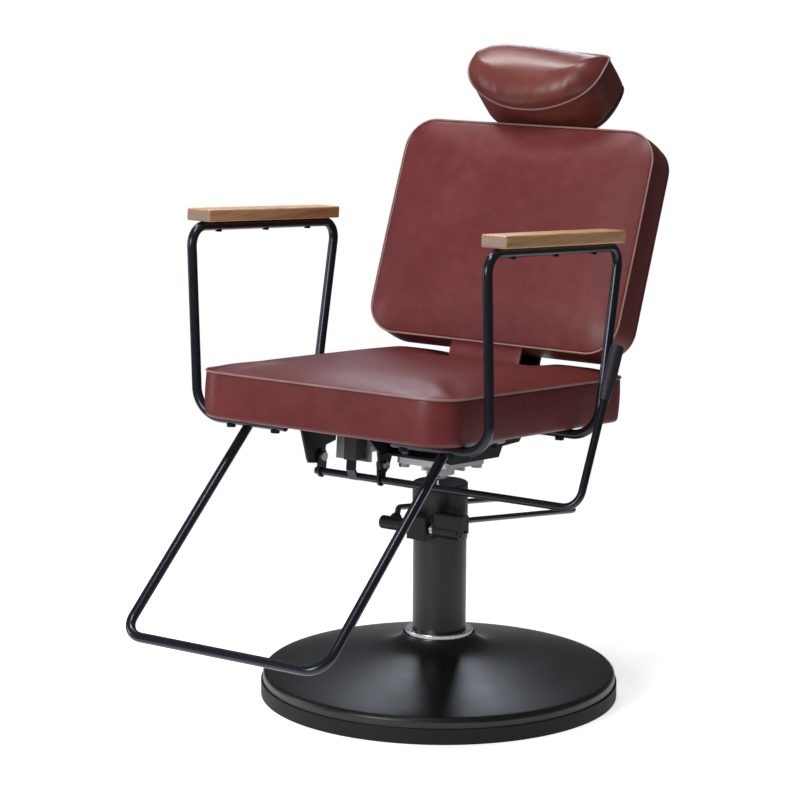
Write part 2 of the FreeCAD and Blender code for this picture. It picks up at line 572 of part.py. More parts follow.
# spine bracket: upper plate on the back board, lower web to the hinge shaft, two side gussets
l0, h0 = back_to_seat(-14.0, 62.0)
l1, h1 = back_to_seat(-14.0, 67.0)
upper = box(-76, 76, -14, 200, -67, -62)
upper = upper.makeFillet(14.0, [e for e in upper.Edges if abs(e.BoundBox.YMin - 200) < 0.01 and e.BoundBox.ZMax - e.BoundBox.ZMin > 4.9])
web = plate_x([(HINGE_L - 3.5, HINGE_H + 6), (HINGE_L + 1.5, HINGE_H + 6), (l1, h1), (l0, h0)], -58, 58)
gus = []
for a, b in ((-58, -52), (52, 58)):
    g = plate_x([(HINGE_L - 14, HINGE_H - 2), (HINGE_L + 14, HINGE_H - 2), (l1 + 9, h1 - 20), (l1, h1), (l0, h0),
                 (HINGE_L - 10, HINGE_H + 55)], a, b)
    gus.append(g)
    gus.append(cylx(15.0, a, b, HINGE_L, HINGE_H))
wide = plate_x([(l0 - 2.0, h0 - 24), (l1 - 2.0, h1 - 24), (l1, h1), (l0, h0)], -76, 76)
low = fuse(web, wide, *gus).cut(cylx(SHAFT_R, -90, 90, HINGE_L, HINGE_H))
spine = in_back(upper).fuse(in_seat(low)).removeSplitter()

bboard = stack([(-238, 238, 6, 377, 44, -BACK_D), (-238, 238, 6, 377, 44, -BACK_D + 12)])


def back_sec(i, z):
    return (-BACK_W + i, BACK_W - i, BACK_S0 + i, BACK_S1 - i, max(55.0 - i * 0.45, 20.0), z)


bcush = stack([back_sec(3.0, -BACK_D), back_sec(0.0, -BACK_D + 8), back_sec(0.0, 0.0), back_sec(24.0, 9.0), back_sec(70.0, 15.0)])
bcush = bcush.cut(bboard)
panel = stack([(-246, 246, 6, 385, 50, -PANEL_D + 5), (-246, 246, 6, 385, 50, -BACK_D)])
outer = stack([(-241, 241, 11, 380, 45, -PANEL_D), (-246, 246, 6, 385, 50, -PANEL_D + 5)])
panel = panel.fuse(outer).removeSplitter()
panel = panel.cut(box(-77, 77, 0, 201.5, -67.2, -61)).cut(box(-25, 25, 228, 390, -73.8, -61))
screws = []
for x in (-60, 60):
    for s in (40, 110, 180):
        bboard = bboard.cut(cyl(3.0, -BACK_D - 1, -BACK_D + 10, x, s))
        spine = spine.cut(in_back(cyl(3.2, -68, -61, x, s)))
        panel = panel.cut(cyl(6.2, -70.6, -67, x, s))
        screws.append(in_back(fuse(cyl(3.0, -67, -BACK_D + 9.5, x, s), cyl(5.8, -70.2, -67, x, s))))
put("spine_bracket", spine)
put("back_board", in_back(bboard))
put("back_cushion", in_back(bcush))
put("back_rear_panel", in_back(panel))

# cover flap over the bracket, under the back's front edge
a0, ah0 = back_to_seat(BACK_S0, 1.0)
a1, ah1 = back_to_seat(BACK_S0, 40.0)
a2, ah2 = back_to_seat(BACK_S0 - 4, 40.0)
a3, ah3 = back_to_seat(BACK_S0 - 4, 5.0)
put("hinge_cover", in_seat(plate_x([(a0, ah0), (a1, ah1), (a2, ah2), (a3, ah3), (90.0, 560.0), (85.5, 560.5)], -73, 73)))

# headrest guide: sleeve on the back board, and its screws
guide = box(-23, 23, 232, 383, -73.5, -62).cut(box(-18.15, 18.15, 231, 384, -71.15, -64.85))
ears = [box(-44, 44, 244, 260, -64.5, -62), box(-44, 44, 340, 356, -64.5, -62)]
for e in ears:
    guide = guide.fuse(e.cut(box(-18.15, 18.15, 231, 384, -71.15, -62)))
guide = guide.removeSplitter()
panel_more = nodes["back_rear_panel"]
for e in ears:
    bb = e.BoundBox
    panel_more = panel_more.cut(in_back(box(bb.XMin - 1, bb.XMax + 1, bb.YMin - 1, bb.YMax + 1, -67.5, -61)))
for x in (-34, 34):
    for s in (252, 348):
        guide = guide.cut(cyl(2.6, -65, -61, x, s))
        b2 = nodes["back_board"].cut(in_back(cyl(2.5, -BACK_D - 1, -BACK_D + 9, x, s)))
        nodes["back_board"] = b2
        screws.append(in_back(fuse(cyl(2.5, -64.5, -BACK_D + 8.5, x, s), cyl(4.6, -66.8, -64.5, x, s))))
nodes["back_rear_panel"] = panel_more
put("headrest_guide", in_back(guide))
put("back_screws", Part.makeCompound(screws))

# ---------------------------------------------------------------- headrest
HP_S, HP_D = 436.0, 68.0            # headrest tilt pin, in the back's frame
bar = fuse(box(-18, 18, 250, 430, -71, -65), cylx(8.0, -18, 18, HP_S, -HP_D))
bar = bar.cut(cylx(4.0 + EPS, -20, 20, HP_S, -HP_D))
put("headrest_bar", in_back(bar))

# headrest sections (x, up the slope), half outlines from the bottom to the top
H_REAR = [(0, -14), (40, -14), (75, -12.5), (95, -7.5), (109, 2), (120, 14), (129, 30), (135.5, 46), (139, 63), (138.5, 74), (131, 82),
          (105, 87), (55, 89.5), (0, 90)]
H_EDGE = [(0, -6.5), (34, -4), (64, 3), (86, 12), (104, 23.5), (117, 37), (127, 51), (133.5, 67), (136, 84), (134.5, 98), (128, 105),
          (105, 108.5), (55, 111.5), (0, 112.5)]
H_SEAM = [(0, -4), (30, -2.5), (58, 4), (78, 12), (96, 21), (110, 31), (122, 43), (130.5, 57), (132.5, 72), (129, 87), (120, 98.5),
          (100, 106.5), (55, 113), (0, 116)]
H_MID = [(0, 4), (26, 5.5), (52, 11.5), (70, 19), (86, 29), (98, 39), (107, 51), (112, 63), (112, 75), (107, 86), (97, 95.5),
         (80, 103), (45, 109.5), (0, 112.5)]
H_CREST = [(0, 17), (20, 18), (40, 22.5), (54, 28.5), (66, 36), (75, 44), (81, 53), (84, 62), (83, 71), (78, 80), (69, 87.5),
           (56, 93.5), (32, 98.5), (0, 101)]
H_TOP = [(0, 33), (12, 33.5), (24, 36), (33, 39.5), (40, 43.5), (45, 48), (49, 54), (50, 60), (49, 66), (46, 72), (40, 77.5),
         (32, 82), (18, 85.5), (0, 87)]


def moon(z, half, ks=1.0, s0=0.0, kx=1.0):
    r = [V(x * kx, s0 + (s - 50) * ks + 50, z) for x, s in half]
    l = [V(-p.x, p.y, p.z) for p in reversed(r[1:-1])]
    c = Part.BSplineCurve()
    c.interpolate(r + l, PeriodicFlag=True)
    return Part.Wire(c.toShape())


hc = Part.makeLoft([moon(-74.0, H_REAR), moon(-19.0, H_EDGE), moon(0.0, H_SEAM), moon(14.0, H_MID), moon(26.0, H_CREST),
                    moon(33.0, H_TOP)], True, True)
hboard = Part.makeLoft([moon(-76.0, H_REAR, 0.97, 0.0, 0.985), moon(-88.0, H_REAR, 0.965, 0.0, 0.98)], True, True)
ply = Part.makeLoft([moon(-62.0, H_REAR, 0.84, 0.0, 0.90), moon(-76.0, H_REAR, 0.84, 0.0, 0.90)], True, True)
hc = hc.cut(ply)
hboard = hboard.fuse(ply).removeSplitter()
put("headrest_cushion", in_head(hc))
ps, pn = back_to_head(HP_S, HP_D)
brk = [box(-38, 38, ps - 26, ps + 24, -91, -88)]
for a, b in ((-23.5, -18.5), (18.5, 23.5)):
    brk.append(cylx(8.5, a, b, ps, -pn))
    brk.append(plate_x([(ps - 14, -90), (ps - 8.4, -pn), (ps + 8.4, -pn), (ps + 14, -90)], a, b))
brk = fuse(*brk).cut(cylx(4.0, -40, 40, ps, -pn))
brk = brk.common(box(-60, 60, -100, 200, -160, -88))
put("headrest_bracket", in_head(brk))
put("headrest_board", in_head(hboard))
hpin = fuse(cylx(4.0, -26, 26, ps, -pn), cylx(6.0, -28, -26, ps, -pn), cylx(6.0, 26, 28, ps, -pn))
put("headrest_pin", in_head(hpin))

put("seat_frame", in_seat(frame))
put("seat_board", in_seat(board))
put("under_seat_bolts", Part.makeCompound(under))

# ---------------------------------------------------------------- write
for name, shape in nodes.items():
    bad = not shape.isValid()
    n = len(shape.Solids)
    bb = shape.BoundBox
    print("%-22s solids %2d vol %10.1f valid %s  [%7.1f %7.1f %7.1f] [%7.1f %7.1f %7.1f]" %
          (name, n, shape.Volume, not bad, bb.XMin, bb.YMin, bb.ZMin, bb.XMax, bb.YMax, bb.ZMax))
    shape.exportStep("parts/%s.step" % name)
print(len(nodes), "nodes")
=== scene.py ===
import bpy, bmesh, math, json
import numpy as np
from mathutils import Vector, Matrix


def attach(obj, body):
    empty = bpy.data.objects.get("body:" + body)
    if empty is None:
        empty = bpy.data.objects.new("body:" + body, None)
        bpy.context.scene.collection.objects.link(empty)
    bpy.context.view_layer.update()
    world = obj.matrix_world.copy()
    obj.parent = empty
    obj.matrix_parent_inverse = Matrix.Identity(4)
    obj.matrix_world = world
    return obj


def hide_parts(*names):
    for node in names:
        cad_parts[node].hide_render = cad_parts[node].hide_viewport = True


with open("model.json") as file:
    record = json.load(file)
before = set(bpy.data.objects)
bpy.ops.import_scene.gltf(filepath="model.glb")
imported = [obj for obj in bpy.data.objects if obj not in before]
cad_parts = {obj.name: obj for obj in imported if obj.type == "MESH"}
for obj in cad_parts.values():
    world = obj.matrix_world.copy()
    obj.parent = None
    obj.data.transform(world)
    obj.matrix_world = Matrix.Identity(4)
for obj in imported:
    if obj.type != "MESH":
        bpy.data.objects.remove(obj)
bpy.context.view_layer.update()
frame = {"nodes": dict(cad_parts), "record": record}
scene = bpy.context.scene
NODES = frame["nodes"]

# ------------------------------------------------------------------ frames (metres)
PITCH = math.radians(4.357)
BACK_TILT = math.radians(17.1)
HEAD_TILT = math.radians(20.64)
BACK_L, BACK_H = 0.094, 0.600
M_S = Matrix.Rotation(-PITCH, 4, "X")


def frame_of(l, h, tilt):
    """Local (x, up the slope, out of the front) -> row frame."""
    return M_S @ Matrix.Translation((0, l, h)) @ Matrix.Rotation(math.pi / 2 - tilt, 4, "X")


def back_to_seat(s, d):
    return (BACK_L + s * math.sin(BACK_TILT) + d * math.cos(BACK_TILT),
            BACK_H + s * math.cos(BACK_TILT) - d * math.sin(BACK_TILT))


M_B = frame_of(BACK_L, BACK_H, BACK_TILT)
HL, HH = back_to_seat(0.412, -0.036)
M_H = frame_of(HL, HH, HEAD_TILT)


def noise3(p, seed=0.0):
    """Smooth value noise, -1 to 1, same every run."""
    from mathutils import noise
    return noise.noise(Vector((p[0] + seed, p[1] - seed * 0.7, p[2] + seed * 1.3)))


# ------------------------------------------------------------------ materials
class Mat:
    def __init__(self, name, color, rough, metallic=0.0, spec=0.5):
        self.m = bpy.data.materials.new(name)
        self.m.use_nodes = True
        self.nt = self.m.node_tree
        self.b = self.nt.nodes["Principled BSDF"]
        self.b.inputs["Base Color"].default_value = (*color, 1)
        self.b.inputs["Roughness"].default_value = rough
        self.b.inputs["Metallic"].default_value = metallic
        self.b.inputs["Specular IOR Level"].default_value = spec
        self.co = self.nt.nodes.new("ShaderNodeTexCoord")
        self.bump_in = None

    def n(self, kind, **kw):
        x = self.nt.nodes.new(kind)
        for k, v in kw.items():
            setattr(x, k, v)
        return x

    def link(self, a, b):
        self.nt.links.new(a, b)

    def vec(self, scale=(1, 1, 1), rot=(0, 0, 0)):
        mp = self.n("ShaderNodeMapping")
        mp.inputs["Scale"].default_value = scale
        mp.inputs["Rotation"].default_value = rot
        self.link(self.co.outputs["Object"], mp.inputs["Vector"])
        return mp.outputs["Vector"]

    def noise(self, scale, detail=2.0, rough=0.5, vec=None, distortion=0.0):
        t = self.n("ShaderNodeTexNoise")
        t.inputs["Scale"].default_value = scale
        t.inputs["Detail"].default_value = detail
        t.inputs["Roughness"].default_value = rough
        t.inputs["Distortion"].default_value = distortion
        self.link(vec if vec is not None else self.co.outputs["Object"], t.inputs["Vector"])
        return t.outputs["Fac"]

    def voronoi(self, scale, feature="F1", vec=None, smooth=None):
        t = self.n("ShaderNodeTexVoronoi", feature=feature)
        t.inputs["Scale"].default_value = scale
        if smooth is not None and "Smoothness" in t.inputs:
            t.inputs["Smoothness"].default_value = smooth
        self.link(vec if vec is not None else self.co.outputs["Object"], t.inputs["Vector"])
        return t.outputs["Distance"]

    def ramp(self, fac, stops):
        r = self.n("ShaderNodeValToRGB")
        e = r.color_ramp.elements
        e[0].position, e[0].color = stops[0][0], (*stops[0][1], 1)
        e[1].position, e[1].color = stops[-1][0], (*stops[-1][1], 1)
        for p, c in stops[1:-1]:
            x = e.new(p)
            x.color = (*c, 1)
        self.link(fac, r.inputs["Fac"])
        return r.outputs["Color"]

    def rng(self, fac, a, b, lo=0.0, hi=1.0):
        r = self.n("ShaderNodeMapRange")
        r.inputs["From Min"].default_value = lo
        r.inputs["From Max"].default_value = hi
        r.inputs["To Min"].default_value = a
        r.inputs["To Max"].default_value = b
        self.link(fac, r.inputs["Value"])
        return r.outputs["Result"]

    def mix(self, fac, a, b, blend="MIX"):
        x = self.n("ShaderNodeMix", data_type="RGBA", blend_type=blend)
        for sock, v in ((x.inputs[0], fac), (x.inputs[6], a), (x.inputs[7], b)):
            if isinstance(v, (int, float)):
                sock.default_value = v
            elif isinstance(v, tuple):
                sock.default_value = (*v, 1)
            else:
                self.link(v, sock)
        return x.outputs[2]

    def math(self, op, a, b=None):
        x = self.n("ShaderNodeMath", operation=op)
        for i, v in enumerate((a, b)):
            if v is None:
                continue
            if isinstance(v, (int, float)):
                x.inputs[i].default_value = v
            else:
                self.link(v, x.inputs[i])
        return x.outputs[0]

    def color(self, out):
        self.link(out, self.b.inputs["Base Color"])

    def rough(self, out):
        self.link(out, self.b.inputs["Roughness"])

    def bump(self, height, strength, distance):
        x = self.n("ShaderNodeBump")
        x.inputs["Strength"].default_value = strength
        x.inputs["Distance"].default_value = distance
        self.link(height, x.inputs["Height"])
        if self.bump_in is not None:
            self.link(self.bump_in, x.inputs["Normal"])
        self.bump_in = x.outputs["Normal"]
        self.link(self.bump_in, self.b.inputs["Normal"])

    def set(self, **kw):
        for k, v in kw.items():
            self.b.inputs[k.replace("_", " ")].default_value = v
        return self


def leather(name, base, dark, light, rough=0.40, coat=0.05, spec=0.30):
    m = Mat(name, base, rough)
    big = m.noise(5.0, 3.0, 0.55)
    mid = m.noise(42.0, 3.0, 0.6)
    c = m.ramp(big, [(0.30, dark), (0.55, base), (0.78, light)])
    c2 = m.ramp(mid, [(0.32, (0.84, 0.82, 0.82)), (0.68, (1.10, 1.08, 1.08))])
    c = m.mix(0.75, c, c2, "MULTIPLY")
    cells = m.voronoi(780.0, "SMOOTH_F1", smooth=0.35)
    pores = m.voronoi(430.0, "DISTANCE_TO_EDGE")
    crease = m.rng(pores, 0.0, 1.0, 0.0, 0.16)
    # painted shade: the colour is darkened along the grain creases (up to 16 % toward a dark brown); the same crease
    # mask also drives bump and roughness below
    c = m.mix(m.rng(crease, 0.16, 0.0), c, (0.25, 0.2, 0.2), "MULTIPLY")
    m.color(c)
    fine = m.noise(2600.0, 2.0, 0.5)
    m.bump(m.noise(26.0, 3.0, 0.55), 0.10, 0.004)
    m.bump(crease, 0.16, 0.00025)
    m.bump(cells, 0.14, 0.00025)
    m.bump(fine, 0.06, 0.0001)
    m.rough(m.math("ADD", m.rng(mid, rough - 0.05, rough + 0.06), m.rng(crease, 0.06, 0.0)))
    m.set(Specular_IOR_Level=spec, Coat_Weight=coat, Coat_Roughness=0.22, Sheen_Weight=0.0)
    return m.m


LEATHER = leather("leather_maroon", (0.168, 0.030, 0.032), (0.142, 0.024, 0.027), (0.196, 0.040, 0.038))
LEATHER_HEAD = leather("leather_maroon_head", (0.168, 0.036, 0.031), (0.125, 0.022, 0.024), (0.225, 0.068, 0.044), 0.34, 0.12, 0.45)
PIPING = leather("leather_piping", (0.34, 0.215, 0.19), (0.28, 0.17, 0.15), (0.40, 0.27, 0.235), 0.42, 0.05)


def powder(name, color, rough, orange=0.10, tint=(1, 1, 1)):
    m = Mat(name, color, rough)
    n = m.noise(9.0, 2.0)
    m.color(m.mix(m.rng(n, 0.0, 0.5), color, tuple(c * 1.5 for c in color)))
    m.bump(m.noise(520.0, 2.0, 0.5), orange, 0.0002)
    m.bump(m.noise(38.0, 2.0, 0.5), 0.05, 0.0006)
    m.rough(m.rng(m.noise(24.0, 3.0), rough - 0.05, rough + 0.06))
    m.set(Specular_Tint=(*tint, 1.0))
    return m.m


BLACK_TUBE = powder("powder_black_tube", (0.009, 0.010, 0.015), 0.24, 0.025, (0.80, 0.86, 1.0))
BLACK_FRAME = powder("paint_black_frame", (0.006, 0.006, 0.008), 0.40)
BLACK_FRAME.node_tree.nodes["Principled BSDF"].inputs["Specular IOR Level"].default_value = 0.28
BLACK_BASE = powder("enamel_black_base", (0.0075, 0.007, 0.008), 0.36, 0.06)
BLACK_BASE.node_tree.nodes["Principled BSDF"].inputs["Specular IOR Level"].default_value = 0.46


def rubber():
    m = Mat("rubber_band", (0.018, 0.016, 0.016), 0.60)
    m.color(m.mix(m.noise(60.0, 3.0), (0.007, 0.006, 0.0065), (0.013, 0.011, 0.0115)))
    m.bump(m.noise(900.0, 2.0), 0.15, 0.0002)
    m.rough(m.rng(m.noise(30.0, 3.0), 0.52, 0.70))
    m.set(Specular_IOR_Level=0.22)
    return m.m


def grip():
    m = Mat("rubber_grip", (0.014, 0.017, 0.022), 0.50)
    m.bump(m.noise(1400.0, 2.0), 0.25, 0.0002)
    m.rough(m.rng(m.noise(45.0, 3.0), 0.44, 0.58))
    m.color(m.mix(m.noise(25.0, 2.0), (0.012, 0.015, 0.020), (0.019, 0.023, 0.030)))
    return m.m


def wood():
    m = Mat("wood_oiled", (0.40, 0.21, 0.095), 0.42)
    v = m.vec((1.0, 0.06, 1.0), (PITCH, 0, 0))
    warp = m.noise(55.0, 4.0, 0.6, v, 0.8)
    ringsv = m.vec((1.0, 0.035, 1.0), (PITCH, 0, 0))
    w = m.n("ShaderNodeTexWave", wave_type="BANDS", bands_direction="X", wave_profile="SIN")
    w.inputs["Scale"].default_value = 42.0
    w.inputs["Distortion"].default_value = 7.0
    w.inputs["Detail"].default_value = 3.0
    w.inputs["Detail Scale"].default_value = 1.6
    m.link(ringsv, w.inputs["Vector"])
    fine = m.noise(520.0, 3.0, 0.6, m.vec((1.0, 0.03, 1.0), (PITCH, 0, 0)))
    c = m.ramp(w.outputs["Fac"], [(0.0, (0.62, 0.325, 0.135)), (0.5, (0.74, 0.415, 0.190)), (1.0, (0.84, 0.520, 0.265))])
    c = m.mix(0.6, c, m.ramp(warp, [(0.3, (0.80, 0.78, 0.76)), (0.7, (1.12, 1.12, 1.12))]), "MULTIPLY")
    c = m.mix(0.5, c, m.ramp(fine, [(0.38, (0.62, 0.56, 0.52)), (0.52, (1.0, 1.0, 1.0))]), "MULTIPLY")
    # end grain: paler and greyer, with small pores, where the surface faces along the pad
    geo = m.n("ShaderNodeNewGeometry")
    sep = m.n("ShaderNodeSeparateXYZ")
    tr = m.n("ShaderNodeVectorTransform", vector_type="NORMAL", convert_from="WORLD", convert_to="OBJECT")
    m.link(geo.outputs["Normal"], tr.inputs["Vector"])
    m.link(tr.outputs["Vector"], sep.inputs["Vector"])
    end = m.math("GREATER_THAN", m.math("ABSOLUTE", sep.outputs["Y"]), 0.8)
    pores = m.voronoi(900.0, "F1")
    ec = m.ramp(pores, [(0.0, (0.18, 0.11, 0.085)), (0.35, (0.33, 0.22, 0.175)), (0.8, (0.39, 0.27, 0.215))])
    c = m.mix(end, c, ec)
    m.color(c)
    m.bump(fine, 0.18, 0.0003)
    m.bump(w.outputs["Fac"], 0.05, 0.0003)
    m.rough(m.rng(fine, 0.50, 0.38))
    return m.m


def plywood():
    m = Mat("plywood_black_stained", (0.20, 0.13, 0.075), 0.65)
    v = m.vec((1.0, 0.05, 1.0))
    c = m.ramp(m.noise(70.0, 5.0, 0.6, v, 1.0), [(0.3, (0.17, 0.105, 0.06)), (0.7, (0.27, 0.18, 0.105))])
    m.color(c)
    m.bump(m.noise(300.0, 3.0, 0.6, v), 0.2, 0.0004)
    return m.m


def metal(name, color, rough, scale=(1, 1, 1), streak=260.0, strength=0.08, metallic=1.0, vary=0.10):
    m = Mat(name, color, rough, metallic)
    v = m.vec(scale)
    n = m.noise(streak, 3.0, 0.6, v)
    m.color(m.mix(m.noise(18.0, 3.0), tuple(c * (1 - vary) for c in color), tuple(min(1, c * (1 + vary)) for c in color)))
    m.bump(n, strength, 0.0002)
    m.rough(m.rng(n, max(0.02, rough - 0.08), rough + 0.10))
    return m.m


STEEL = metal("steel_turned", (0.66, 0.66, 0.67), 0.26, (1, 1, 14), 220.0, 0.10)
ZINC = metal("steel_zinc", (0.55, 0.56, 0.60), 0.34, (1, 1, 1), 300.0, 0.06)
CHROME = metal("chrome_bright", (0.80, 0.80, 0.82), 0.08, (1, 1, 1), 120.0, 0.02, vary=0.03)
IRON = metal("iron_cast", (0.10, 0.10, 0.10), 0.62, (1, 1, 1), 420.0, 0.5, 0.6)


def cast():
    m = Mat("aluminium_cast", (0.56, 0.555, 0.60), 0.42, 0.85)
    n = m.noise(340.0, 4.0, 0.65)
    m.color(m.mix(m.noise(30.0, 3.0), (0.48, 0.475, 0.52), (0.62, 0.615, 0.65)))
    m.bump(n, 0.30, 0.0004)
    m.bump(m.noise(60.0, 2.0), 0.10, 0.001)
    m.rough(m.rng(n, 0.36, 0.54))
    return m.m


def plastic(name, color, rough):
    m = Mat(name, color, rough)
    m.bump(m.noise(700.0, 2.0), 0.12, 0.0002)
    m.rough(m.rng(m.noise(40.0, 2.0), rough - 0.05, rough + 0.05))
    m.color(m.mix(m.noise(20.0, 2.0), tuple(c * 0.9 for c in color), tuple(c * 1.12 for c in color)))
    return m.m


SLOT = {
    "wood": wood(), "plywood": plywood(), "black_tube": BLACK_TUBE, "black_frame": BLACK_FRAME, "black_base": BLACK_BASE,
    "rubber": rubber(), "grip": grip(), "chrome": CHROME, "steel": STEEL, "zinc": ZINC, "cast_alu": cast(),
    "black_plastic": plastic("plastic_black", (0.016, 0.016, 0.017), 0.45), "bush": plastic("acetal_natural", (0.55, 0.53, 0.47), 0.45),
    "seal": plastic("nitrile_seal", (0.02, 0.02, 0.02), 0.6), "cast_iron": IRON, "leather": LEATHER,
}
slot_of = {s["node"]: s["material_slot"] for s in frame["record"]["subparts"]}
for name, ob in NODES.items():
    mat = SLOT[slot_of[name]]
    if not ob.material_slots:
        ob.data.materials.append(mat)
    for s in ob.material_slots:
        s.material = mat


# ------------------------------------------------------------------ mesh helpers
def new_object(name, verts, faces, mat, smooth=True):
    me = bpy.data.meshes.new(name)
    me.from_pydata([tuple(v) for v in verts], [], faces)
    me.update()
    bm = bmesh.new()
    bm.from_mesh(me)
    bmesh.ops.recalc_face_normals(bm, faces=bm.faces)
    bm.to_mesh(me)
    bm.free()
    if smooth:
        for p in me.polygons:
            p.use_smooth = True
    ob = bpy.data.objects.new(name, me)
    scene.collection.objects.link(ob)
    me.materials.append(mat)
    return ob


def rounded_sides(x0, x1, y0, y1, r, nx, ny):
    """Four sides (bottom, right, top, left) of a rounded rectangle, each from corner middle to corner middle."""
    def dense():
        pts = []
        for cx, cy, a0 in ((x1 - r, y0 + r, -90), (x1 - r, y1 - r, 0), (x0 + r, y1 - r, 90), (x0 + r, y0 + r, 180)):
            arc = [(cx + r * math.cos(math.radians(a0 + 90 * k / 24)), cy + r * math.sin(math.radians(a0 + 90 * k / 24))) for k in range(25)]
            pts.append(arc)
        return pts
    br, tr, tl, bl = dense()
    sides = [bl[12:] + br[:13], br[12:] + tr[:13], tr[12:] + tl[:13], tl[12:] + bl[:13]]
    return [resample(s, n) for s, n in zip(sides, (nx, ny, nx, ny))]


def resample(pts, n):
    p = np.array(pts, float)
    d = np.r_[0, np.cumsum(np.linalg.norm(np.diff(p, axis=0), axis=1))]
    t = np.linspace(0, d[-1], n + 1)
    return np.stack([np.interp(t, d, p[:, k]) for k in range(p.shape[1])], 1)


def coons(bottom, right, top, left):
    """Grid of points inside four sides that run round the outline."""
    nx, ny = len(bottom) - 1, len(right) - 1
    T, L = top[::-1], left[::-1]
    g = np.zeros((nx + 1, ny + 1, 2))
    for i in range(nx + 1):
        u = i / nx
        for j in range(ny + 1):
            v = j / ny
            g[i, j] = ((1 - v) * bottom[i] + v * T[i] + (1 - u) * L[j] + u * right[j]
                       - ((1 - u) * (1 - v) * bottom[0] + u * (1 - v) * bottom[nx] + (1 - u) * v * T[0] + u * v * T[nx]))
    return g


def seg_distance(p, loop):
    """Distance of each point to a closed polyline."""
    a, b = loop, np.roll(loop, -1, axis=0)
    ab = b - a
    best = np.full(len(p), 1e9)
    for k in range(len(a)):
        t = np.clip(((p - a[k]) @ ab[k]) / max(ab[k] @ ab[k], 1e-12), 0, 1)
        best = np.minimum(best, np.linalg.norm(p - (a[k] + t[:, None] * ab[k]), axis=1))
    return best


class Pad:
    """Closed pad: crowned front panel, boxing in rows, flat back. Local z is out of the front."""

    def __init__(self, name, grid, z_seam, crown, rows, mat, back_crown=None, mask=None, smooth=6, seam_z=None, shift=None):
        nx, ny = grid.shape[0] - 1, grid.shape[1] - 1
        keep = np.ones((nx, ny), bool) if mask is None else mask
        used = {}
        faces2 = []
        for i in range(nx):
            for j in range(ny):
                if keep[i, j]:
                    f = [(i, j), (i + 1, j), (i + 1, j + 1), (i, j + 1)]
                    for q in f:
                        used.setdefault(q, len(used))
                    faces2.append([used[q] for q in f])
        P = np.zeros((len(used), 2))
        for q, k in used.items():
            P[k] = grid[q]
        # boundary loop
        edges = {}
        for f in faces2:
            for a, b in zip(f, f[1:] + f[:1]):
                if (b, a) in edges:
                    del edges[(b, a)]
                else:
                    edges[(a, b)] = True
        nxt = {a: b for a, b in edges}
        start = min(nxt)
        loop = [start]
        while nxt[loop[-1]] != start:
            loop.append(nxt[loop[-1]])
        self.loop = loop
        L = P[loop]
        d = seg_distance(P, L)
        onb = np.zeros(len(P), bool)
        onb[loop] = True
        nb = [[] for _ in P]
        for f in faces2:
            for a, b in zip(f, f[1:] + f[:1]):
                nb[a].append(b)
                nb[b].append(a)
        nb = [sorted(set(x)) for x in nb]

        def relief(fn):
            z = fn(P, d)
            for _ in range(smooth):
                z = np.array([z[k] if onb[k] else 0.5 * z[k] + 0.5 * np.mean(z[nb[k]]) for k in range(len(P))])
            z[onb] = 0
            return z
        base = np.zeros(len(P))
        if seam_z is not None:
            base = seam_z(P)
            for _ in range(400):
                new = np.array([base[k] if onb[k] else np.mean(base[nb[k]]) for k in range(len(P))])
                if abs(new - base).max() < 2e-6:
                    break
                base = new
        top = np.c_[P, z_seam + base + relief(crown)]
        if shift is not None:
            top[:, 1] += shift(P, d)
        seam_base = base[loop]
        n = len(P)
        verts = [tuple(v) for v in top]
        faces = [list(f) for f in faces2]
        prev = list(loop)
        c = L.mean(0)
        self.rows = [prev]
        # outward normals of the loop, for bulging rows
        nrm = np.zeros_like(L)
        t = np.roll(L, -1, axis=0) - np.roll(L, 1, axis=0)
        nrm[:, 0], nrm[:, 1] = t[:, 1], -t[:, 0]
        nrm /= np.maximum(np.linalg.norm(nrm, axis=1), 1e-9)[:, None]
        for k, (z, move, bulge) in enumerate(rows):
            Q = move(L, P[loop]) + nrm * bulge
            fade = 1 - (k + 1) / len(rows)
            first = len(verts)
            verts += [(q[0], q[1], z + b * fade) for q, b in zip(Q, seam_base)]
            cur = list(range(first, first + len(loop)))
            for i in range(len(loop)):
                j = (i + 1) % len(loop)
                faces.append([prev[j], prev[i], cur[i], cur[j]])
            prev = cur
            self.rows.append(cur)
        # back panel: the same grid moved the same way
        z, move, bulge = rows[-1]
        inner = {}
        G = move(P, P)
        back = relief(back_crown) if back_crown is not None else np.zeros(len(P))
        pos_on_loop = {v: i for i, v in enumerate(loop)}
        for k in range(n):
            if onb[k]:
                inner[k] = prev[pos_on_loop[k]]
            else:
                inner[k] = len(verts)
                verts.append((G[k][0], G[k][1], z - back[k]))
        faces += [[inner[k] for k in reversed(f)] for f in faces2]
        self.ob = new_object(name, verts, faces, mat)
        self.seam = [Vector(verts[k]) for k in loop]
        self.top_n = n
        self.onb = onb
        self.d = d
        self.back_start = min([inner[k] for k in range(n) if not onb[k]] or [len(verts)])

    def pins(self, extra_rows=()):
        """Seam, last boxing row and back panel are held."""
        me = self.ob.data
        g = self.ob.vertex_groups.new(name="pin")
        held = set(self.rows[0]) | set(self.rows[-1]) | set(range(self.back_start, len(me.vertices)))
        for r in extra_rows:
            held |= set(self.rows[r])
        g.add(list(held), 1.0, "ADD")
        return g


